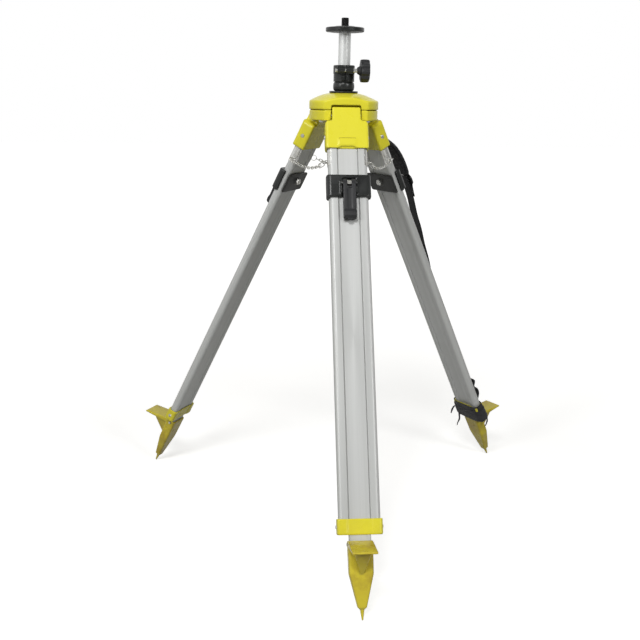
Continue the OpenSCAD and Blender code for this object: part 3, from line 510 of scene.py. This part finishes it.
class Collect:
    """Gathers points and faces of several forms for one piece."""

    def __init__(self):
        self.verts, self.faces, self.uvs = [], [], []

    def add(self, verts, faces, uvs=None):
        base = len(self.verts)
        self.verts += list(verts)
        self.faces += [tuple(base + i for i in face) for face in faces]
        self.uvs += list(uvs) if uvs else [(0, 0)] * len(verts)


# Castings, whose sharp corners are rounded in a copy of their mesh

SOFT = {
    "head_dome": (0.0014, 10, "yellow"), "hinge_caps": (0.0012, 6, "yellow"), "shoulder": (0.0014, 9, "yellow"),
    "end_cap": (0.0012, 4, "yellow"), "foot": (0.0014, 6, "yellow"), "clamp_band": (0.0012, 5, "black_casting"),
    "clamp_plate": (0.0011, 4, "black_casting"), "lever": (0.0010, 4, "black_plastic"),
}


def soften(name, voxel, rounds, slot):
    """A casting's shape on an even grid of faces, relaxed so that its corners are round."""
    source = NODES[name]
    obj = bpy.data.objects.new(name + "_cast", source.data.copy())
    obj.matrix_world = source.matrix_world.copy()
    bpy.context.scene.collection.objects.link(obj)
    weld = obj.modifiers.new("weld", "WELD")
    weld.merge_threshold = 0.00002
    grid = obj.modifiers.new("grid", "REMESH")
    grid.mode, grid.voxel_size, grid.use_smooth_shade = "VOXEL", voxel, True
    relax = obj.modifiers.new("relax", "SMOOTH")
    relax.factor, relax.iterations = 0.5, rounds
    bpy.context.view_layer.update()
    ready = obj.evaluated_get(bpy.context.evaluated_depsgraph_get())
    mesh = bpy.data.meshes.new_from_object(ready)
    obj.modifiers.clear()
    obj.data = mesh
    mesh.shade_smooth()
    mesh.materials.clear()
    mesh.materials.append(source.data.materials[0])
    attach(obj, body_of(source)[0])
    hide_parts(name)


def add_castings():
    for name in NODES:
        stem = name if name in SOFT else name.rpartition("_")[0]
        if stem in SOFT:
            soften(name, *SOFT[stem])
    for leg in LEGS:
        add_panel_lines(leg)


def add_panel_lines(leg):
    """The outline of the raised panel on a shoulder, as thin ridges that stand 0.5 mm proud, in a darker yellow that
    is painted shade along the panel's edge.
    """
    _, outward, _ = leg_axes(leg)
    lines = Collect()
    for x0, s0, x1, s1 in ((-17, 56.5, 17, 56.5), (-17.5, 57, -17.5, 66), (17.5, 57, 17.5, 66)):
        a, b = leg_point(leg, x0, 15.0, s0), leg_point(leg, x1, 15.0, s1)
        side = outward.cross((b - a).normalized())
        verts = []
        for point in (a, b):
            for k in range(8):
                turn = 2 * math.pi * k / 8
                verts.append(point + side * 0.0008 * math.cos(turn) + outward * 0.0005 * math.sin(turn))
        lines.add(verts, grid_faces(2, 8) + [tuple(range(8)), tuple(range(8, 16))])
    make_piece("panel_lines_" + leg, lines.verts, lines.faces, YELLOW_SHADE_LINE, "upper_leg_" + leg)


# Chains

EYE_DOWN, EYE_OUT = 106, 47.5
LINKS, RING, HOOK, WIRE = 13, 13, 20, 1.8
SLACK, HANG = 4.7, 3.4


def hang(span, length):
    """The catenary constant of a chain of that length over that span."""
    low, high = span / 10, span * 20
    for _ in range(60):
        mid = (low + high) / 2
        if 2 * mid * math.sinh(span / 2 / mid) > length:
            low = mid
        else:
            high = mid
    return mid


def ring_form(half, place, size):
    """A split ring of two turns of wire."""
    radius = (size - 1) / 2
    turns = [2 * math.pi * k / 28 for k in range(28)]
    for lift in (-0.6, 0.6):
        outline = [(radius * math.cos(a), radius * math.sin(a)) for a in turns]
        half.add(*wire_loop(outline, 0.62, place @ Matrix.Translation((0, 0, lift))))


def hook_form(half, place, size):
    """A long link of thick wire with a spring tongue across it."""
    half.add(*wire_loop(stadium(size + 0.5, 9, 2), 1.0, place))
    tongue = [(x * 0.42 - 3.2, y * 0.9) for x, y in stadium(size * 0.8, 5, 1.6)]
    half.add(*wire_loop(tongue, 0.75, place @ Matrix.Translation((0, 0, 1.6))))


def add_chain(name, leg_a, leg_b, first, last):
    """A chain from leg_a to leg_b, in two halves, each of which follows its leg as it folds."""
    start = leg_point(leg_a, EYE_OUT, 0, EYE_DOWN) * 1000
    end = leg_point(leg_b, -EYE_OUT, 0, EYE_DOWN) * 1000
    span = (end - start).length
    length = span + SLACK
    heading = math.atan2(end.y - start.y, end.x - start.x)
    a = hang(span, length)
    pitch = (length - RING - HOOK - 2 * HANG) / LINKS
    sizes = [first] + [pitch] * LINKS + [last]
    halves = (Collect(), Collect())
    at = HANG
    for i, size in enumerate(sizes):
        mid = at + size / 2 - length / 2
        at += size
        x = a * math.asinh(mid / a)
        z = a * (math.cosh(x / a) - math.cosh(span / 2 / a))
        away = span / 2 + x
        place = (
            Matrix.Scale(0.001, 4)
            @ Matrix.Translation(start + Vector((away * math.cos(heading), away * math.sin(heading), z)))
            @ Matrix.Rotation(heading, 4, "Z")
            @ Matrix.Rotation(-math.atan(mid / a), 4, "Y")
            @ Matrix.Rotation(math.radians(90 if i % 2 == 0 else 0), 4, "X")
        )
        half = halves[0 if mid < 0 else 1]
        if size == RING:
            ring_form(half, place, size)
        elif size == HOOK:
            hook_form(half, place, size)
        else:
            half.add(*wire_loop(stadium(size + 0.5, 5, WIRE), WIRE / 2, place))
    bottom = (start + end) / 2 - Vector((0, 0, a * (math.cosh(span / 2 / a) - 1)))
    for half, side, leg, point in zip(halves, ("a", "b"), (leg_a, leg_b), (start, end)):
        piece = make_piece(f"{name}_{side}", half.verts, half.faces, STEEL, None, replaces=(name,), sharp=80)
        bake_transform(piece, "head", "upper_leg_" + leg, start=tuple(bottom / 1000), end=tuple(point / 1000))


# Column, stud and knob


STUD_BASE = RIM_Z * 1000 + 150.6
KNOB_AT = (0.0325, -0.022, RIM_Z + 0.061)


def add_stud():
    """The stud's thread, in mm. It is drawn wider and shallower than a 5/8 inch thread, for looks only."""
    length, radius = 17.0, 8.2
    pitch, depth, rows, steps = 2.309, 0.95, 150, 72
    profile = [(radius, length * i / (rows - 1)) for i in range(rows)]

    def thread(angle, r, z):
        phase = (z / pitch - angle / (2 * math.pi)) % 1
        groove = min(1, max(0, abs(phase - 0.5) * 2 * 1.25 - 0.12))
        r -= depth * (1 - groove)
        r = min(r, radius + 0.1 - max(0, z - (length - 1.6)) * 1.0)
        return min(r, radius - depth * 1.1 + 4 * abs(z - 1.2)) if z < 1.6 else r

    place = Matrix.Translation((0, 0, STUD_BASE / 1000)) @ Matrix.Scale(0.001, 4)
    verts, faces = lathe(profile, steps, place, thread)
    make_piece("stud_thread", verts, faces, BLACK_STEEL, "column", replaces=("instrument_stud",), sharp=60)


def add_knob():
    """The knob with nine lobes, its long neck and its hollow end, in mm along its axis."""
    place = Matrix.Translation(KNOB_AT) @ Matrix.Rotation(math.radians(90), 4, "Y") @ Matrix.Scale(0.001, 4)
    big, length = 23.5, 18.5
    profile = [(4.3, -7), (6.0, -7), (6.6, -6.6), (9.6, -1.6), (10.6, -0.6), (11.5, 0.2), (14, 0)]
    profile += [(big - 2.0, 0), (big - 1.1, 0.15), (big - 0.4, 0.7), (big - 0.1, 1.5)]
    profile += [(big + 0.4 * math.sin(math.pi * u), 1.5 + (length - 4.5) * u) for u in (0.15, 0.3, 0.5, 0.7, 0.85)]
    for a in (math.radians(d) for d in (0, 20, 40, 60, 80)):
        profile.append((big - 2.6 * (1 - math.cos(a)), length - 3 + 3 * math.sin(a)))
    end = ((big - 5, 0.25), (14.5, 0.5), (13.5, 0.3), (12.9, -0.6), (12.2, -0.9), (3, -0.7), (0.1, -0.7))
    profile += [(r, length + rise) for r, rise in end]

    def lobes(angle, r, height):
        if r < 15.5:
            return r
        wave = 0.5 + 0.5 * math.cos(9 * angle)
        return r - (r - 15.5) / (big - 15.5) * 2.2 * (1 - wave) ** 1.5

    verts, faces = lathe(profile, 144, place, lobes)
    make_piece("knob_body", verts, faces, PLASTIC, "knob", replaces=("clamp_knob",), sharp=50)


# Carrying strap on the right leg

PAD_LINE = ((21.5, 66), (34.5, 86), (43, 103), (48, 121), (50.5, 139), (51, 156), (50, 177))
WEB_N = 20.4
WEB_LINE = ((48, 178), (49.5, 206), (48.5, 226), (46, 250), (43, 275), (39, 316), (35.5, 345), (32.5, 370),
            (29, 400), (25, 435), (22, 465), (WEB_N, 490), (WEB_N, 600), (WEB_N, 760), (27, 776), (36, 790),
            (28, 804), (36, 818), (36, 834), (25, 849), (20.5, 864))
WEB_W, WEB_T = 0.025, 0.0019
CAP_HALF_W, CAP_HALF_T = 44.5, 13.5


def line_points(line, step):
    """A smooth path through (outwards, down) points in the right leg's middle plane."""
    return smooth_path([leg_point("right", 0, out, down) for out, down in line], step)


def give_way(piece):
    """Gives a strap piece a mesh of its own."""
    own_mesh(piece)


def add_pad():
    across, outward, _ = leg_axes("right")
    path = line_points(PAD_LINE, 0.0025)
    columns, half_w = 57, 0.0228
    verts, uvs, rows = [], [], []
    run = 0.0
    for i, point in enumerate(path):
        if i:
            run += (point - path[i - 1]).length
        before, after = path[max(i - 1, 0)], path[min(i + 1, len(path) - 1)]
        up = across.cross((after - before).normalized()).normalized()
        rows.append((point, up if up.dot(outward) > 0 else -up, run))
    for side in (1, -1):
        for point, up, at in rows:
            end = min(1, at / 0.008, (run - at) / 0.008)
            taper = 0.80 + 0.20 * math.sqrt(max(0, end))
            for c in range(columns):
                v = 2 * c / (columns - 1) - 1
                crown = max(0, 1 - abs(v) ** 4) ** 0.6
                hem = 1 - 0.42 * math.exp(-(((abs(v) - 0.80) / 0.045) ** 2))
                rib = 1 + 0.05 * math.cos(at / 0.011 * 2 * math.pi)
                thick = 0.0009 + 0.0041 * crown * hem * rib * (0.30 + 0.70 * math.sqrt(max(0, end)))
                verts.append(point + across * half_w * v * taper + up * thick * side)
                uvs.append((half_w * v, at))
    count = len(rows)
    base = count * columns
    faces = grid_faces(count, columns, wrap_columns=False)
    faces += grid_faces(count, columns, wrap_columns=False, start=base)
    rim = list(range(columns)) + [r * columns + columns - 1 for r in range(1, count)]
    rim += [(count - 1) * columns + c for c in range(columns - 2, -1, -1)]
    rim += [r * columns for r in range(count - 2, 0, -1)]
    faces += [(a, b, b + base, a + base) for a, b in zip(rim, rim[1:] + rim[:1])]
    pad = make_piece("pad_sleeve", verts, faces, PAD_CLOTH, "upper_leg_right", uvs, ("strap_pad",), 60)
    give_way(pad)
    stitches = Collect()
    for v in (-0.80, 0.80):
        for i in range(6, count - 6, 2):
            point, up, at = rows[i]
            ahead = rows[i + 1][0] - point
            middle = point + across * half_w * v + up * 0.0030
            stitches.add(*bead(middle, ahead * 0.35, up, 0.00035))
    thread = make_piece("pad_stitching", stitches.verts, stitches.faces, THREAD, "upper_leg_right")
    give_way(thread)


def bead(middle, reach, up, radius):
    """A short rounded stitch that lies along reach on both sides of middle."""
    side = reach.normalized().cross(up)
    verts = []
    for share, size in ((-1, 0.4), (-0.6, 1), (0.6, 1), (1, 0.4)):
        for k in range(6):
            a = 2 * math.pi * k / 6
            verts.append(middle + reach * share + (side * math.cos(a) + up * math.sin(a)) * radius * size)
    return verts, grid_faces(4, 6) + [tuple(range(6)), tuple(range(18, 24))]


def ribbon(path, widths, twist=None):
    """A web along path whose width lies across the leg, or turned from it by twist radians at each point."""
    across, _, _ = leg_axes("right")
    directions = []
    for i in range(len(path)):
        before, after = path[max(i - 1, 0)], path[min(i + 1, len(path) - 1)]
        turn = Matrix.Rotation(twist(i / (len(path) - 1)) if twist else 0, 3, (after - before).normalized())
        directions.append(turn @ across)
    return sweep(path, directions, widths if isinstance(widths, list) else [widths] * len(path), WEB_T)


def cap_turn(down, lift, tilt, grow, steps=112):
    """Points of one turn of web round the end cap, lift mm off it and tilted by tilt mm from side to side."""
    points = []
    for i in range(steps):
        a = 2 * math.pi * (i / steps)
        x = bent(math.cos(a), 2 / 3.6) * (CAP_HALF_W + lift)
        n = bent(math.sin(a), 2 / 3.6) * (CAP_HALF_T + lift)
        wave = 0.6 * math.sin(5 * a + grow) + 0.4 * math.sin(9 * a + 2 * grow)
        points.append((x, n + 0.5 * wave, down + tilt * math.cos(a + grow) + wave))
    return [leg_point("right", *p) for p in points]


def closed_ribbon(points, width):
    """A web whose width lies along the leg, joined into a ring."""
    _, _, downward = leg_axes("right")
    stops = len(points) + 1
    verts, _, uvs = sweep([*points, points[0]], [downward] * stops, [width] * stops, WEB_T)
    sides = len(verts) // stops
    verts, uvs = verts[: len(points) * sides], uvs[: len(points) * sides]
    return verts, grid_faces(len(points), sides, wrap_rows=True), uvs


def add_webbing():
    """The run and the short end get meshes of their own. The turns round the end cap and the tails are one piece."""
    web = Collect()
    path = line_points(WEB_LINE, 0.004)
    sag = [0.0007 * math.sin(i * 0.37) * min(1, i / 12) for i in range(len(path))]
    across, _, _ = leg_axes("right")
    path = [p + across * s for p, s in zip(path, sag)]
    web.add(*ribbon(path, WEB_W))
    piece = make_piece("webbing", web.verts, web.faces, WEB, "upper_leg_right", web.uvs,
                       replaces=("strap_webbing",), sharp=50)
    give_way(piece)

    web = Collect()
    for down, lift, tilt, grow in ((850, 1.4, 1.5, 0.4), (861, 3.6, 2.5, 2.1), (872, 4.8, 3.0, 3.6)):
        web.add(*closed_ribbon(cap_turn(down, lift, tilt, grow), WEB_W))
    tails = (
        ((30, -18, 876), ((0, 0, 0), (1, 0, -9), (2, 1, -20), (-2, 1, -31), (-3, 1, -38)), 0.2, 0.6),
        ((-41, 17, 880), ((0, 0, 0), (1, -1, -10), (2, -1, -20), (0, -1, -30), (-3, -1, -37)), 0.7, 0.3),
        ((46, -14, 862), ((0, 0, 0), (-4, 0, -5), (-7, -1, -12), (-9, -1, -21)), 1.2, 1.4),
    )
    for start, offsets, first, last in tails:
        base = leg_point("right", *start)
        route = smooth_path([base + Vector(o) / 1000 for o in offsets], 0.002)
        count = len(route) - 1
        widths = [0.009 * (1 - 0.8 * max(0, i / count - 0.55) / 0.45) for i in range(count + 1)]
        web.add(*ribbon(route, widths, twist=lambda u, a=first, b=last: a + (b - a) * u))
    make_piece("strap_turns", web.verts, web.faces, WEB, "upper_leg_right", web.uvs, sharp=50)

    short = Collect()
    over = ((55, 172), (59, 184), (61.3, 190), (61.1, 199), (56.5, 209), (54, 222), (52, 236))
    short.add(*ribbon(line_points(over, 0.003), WEB_W))
    keeper = make_piece("strap_end", short.verts, short.faces, WEB, "upper_leg_right", short.uvs)
    give_way(keeper)


def add_slider():
    """A moulded buckle with three bars."""
    across, outward, downward = leg_axes("right")
    middle = leg_point("right", 0, 55.5, 194.5)
    buckle = Collect()
    half_w, half_h = 0.0192, 0.0108
    outline = []
    for i in range(64):
        a = 2 * math.pi * i / 64
        outline.append((bent(math.cos(a), 0.45) * half_w * 0.9, bent(math.sin(a), 0.45) * half_h * 0.82))
    verts, sides = [], 12
    for i, (x, y) in enumerate(outline):
        ax, ay = outline[i - 1]
        bx, by = outline[(i + 1) % len(outline)]
        tangent = Vector((bx - ax, by - ay)).normalized()
        for k in range(sides):
            a = 2 * math.pi * k / sides
            push = 0.0019 * math.cos(a)
            verts.append(middle + across * (x + tangent.y * push) + downward * (y - tangent.x * push)
                         + outward * 0.0024 * math.sin(a))
    buckle.add(verts, grid_faces(len(outline), sides, wrap_rows=True))
    for offset, lift in ((0, 0.0012), (-0.0076, 0), (0.0076, 0)):
        bar = [middle + across * x + downward * offset + outward * lift for x in (-0.0165, -0.008, 0, 0.008, 0.0165)]
        verts, faces, _ = sweep(bar, [downward] * 5, [0.0032] * 5, 0.0036, sides=12)
        buckle.add(verts, faces)
    piece = make_piece("slider_buckle", buckle.verts, buckle.faces, PLASTIC, "upper_leg_right",
                       replaces=("strap_slider",), sharp=60)
    give_way(piece)


# Stage and light

AMBIENT = 0.14
SHADE = (1.0, 0.97, 0.84)
ROOM = 0.32
FLOOR_HALF = 14
HEAD = (0, 0, 0.8)
LAMPS = (
    ("key", (-0.9, -2.8, 3.4), HEAD, (1.0, 1.0), 56),
    ("left", (-3.2, -3.0, 2.5), HEAD, (1.2, 1.2), 55),
    ("right", (2.5, -3.5, 2.5), HEAD, (1.2, 1.2), 54),
)


def add_light(name, at, aim, size, watts):
    data = bpy.data.lights.new(name, "AREA")
    data.shape = "RECTANGLE"
    data.size, data.size_y = size
    data.energy = watts
    lamp = bpy.data.objects.new(name, data)
    bpy.context.scene.collection.objects.link(lamp)
    lamp.location = at
    lamp.rotation_euler = (Vector(aim) - Vector(at)).to_track_quat("-Z", "Y").to_euler()


def join(tree, operation, first, second):
    """The output of a Math node on a socket and a second socket or number."""
    made = tree.nodes.new("ShaderNodeMath")
    made.operation = operation
    tree.links.new(first, made.inputs[0])
    if isinstance(second, float):
        made.inputs[1].default_value = second
    else:
        tree.links.new(second, made.inputs[1])
    return made.outputs[0]


def spread(tree, value, limits):
    """The value mapped from its first two limits to the last two."""
    made = tree.nodes.new("ShaderNodeMapRange")
    tree.links.new(value, made.inputs["Value"])
    for index, number in enumerate(limits, 1):
        made.inputs[index].default_value = number
    return made.outputs[0]


def seen_directly(tree):
    """A value of 1 for the camera's own rays and for glossy reflections, and 0 for scattered light."""
    path = tree.nodes.new("ShaderNodeLightPath")
    return join(tree, "MAXIMUM", path.outputs["Is Camera Ray"], path.outputs["Is Glossy Ray"])


def studio_strength(tree):
    """White to the camera. Glossy reflections see the white backdrop behind the tripod, a greyer room before it
    and a bright window on the left. Scattered light gets the ambient level."""
    path = tree.nodes.new("ShaderNodeLightPath")
    split = tree.nodes.new("ShaderNodeSeparateXYZ")
    tree.links.new(tree.nodes.new("ShaderNodeTexCoord").outputs["Generated"], split.inputs[0])
    room = spread(tree, split.outputs["Y"], (-0.35, 0.35, ROOM, 1.0))
    window = spread(tree, split.outputs["X"], (-0.9, -0.4, 1.2, 0.0))
    around = join(tree, "MAXIMUM", room, window)
    mirrored = join(tree, "MULTIPLY", path.outputs["Is Glossy Ray"], around)
    seen = join(tree, "MAXIMUM", path.outputs["Is Camera Ray"], mirrored)
    return join(tree, "MAXIMUM", seen, AMBIENT)


def floor_paper():
    """White paper that shows the shadow near the tripod and fades to plain white further out."""
    s = Shader("floor_white", (0.8, 0.8, 0.8), roughness=0.9, Specular_IOR_Level=0.0)
    seen = seen_directly(s.tree)
    s.colour(s.mix(seen, (0.18, 0.18, 0.175), (0.85, 0.85, 0.85)))
    away = s.node("VectorMath", {"operation": "LENGTH"}, _0=s.node("TexCoord").outputs["Object"])
    path = s.node("LightPath")
    glow = s.math("MULTIPLY", path.outputs["Is Camera Ray"], s.ramp(away.outputs["Value"], 0.8, 3.0, 0.62, 0.97))
    glow = s.math("ADD", glow, s.math("MULTIPLY", path.outputs["Is Glossy Ray"], 0.25))
    s.bsdf.inputs["Emission Color"].default_value = (1, 1, 1, 1)
    s.tree.links.new(glow, s.bsdf.inputs["Emission Strength"])
    return s.done()


def add_stage():
    mesh = bpy.data.meshes.new("floor")
    h = FLOOR_HALF
    mesh.from_pydata([(-h, -h, 0), (h, -h, 0), (h, h, 0), (-h, h, 0)], [], [(0, 1, 2, 3)])
    floor = bpy.data.objects.new("floor", mesh)
    bpy.context.scene.collection.objects.link(floor)
    mesh.materials.append(floor_paper())

    world = bpy.data.worlds.new("studio")
    bpy.context.scene.world = world
    world.use_nodes = True
    tree = world.node_tree
    strength = studio_strength(tree)
    background = tree.nodes["Background"]
    tint = tree.nodes.new("ShaderNodeMix")
    tint.data_type = "RGBA"
    tree.links.new(seen_directly(tree), tint.inputs[0])
    tint.inputs[6].default_value = (*SHADE, 1)
    tint.inputs[7].default_value = (1, 1, 1, 1)
    tree.links.new(tint.outputs[2], background.inputs["Color"])
    tree.links.new(strength, background.inputs["Strength"])

    for lamp in LAMPS:
        add_light(*lamp)
    bpy.context.scene.view_settings.view_transform = "Standard"


add_camera()
dress_cad()
add_castings()
add_stage()
add_chain("chain_right", "front", "right", HOOK, RING)
add_chain("chain_rear", "right", "left", HOOK, RING)
add_chain("chain_left", "left", "front", RING, HOOK)
add_stud()
add_knob()
add_pad()
add_webbing()
add_slider()
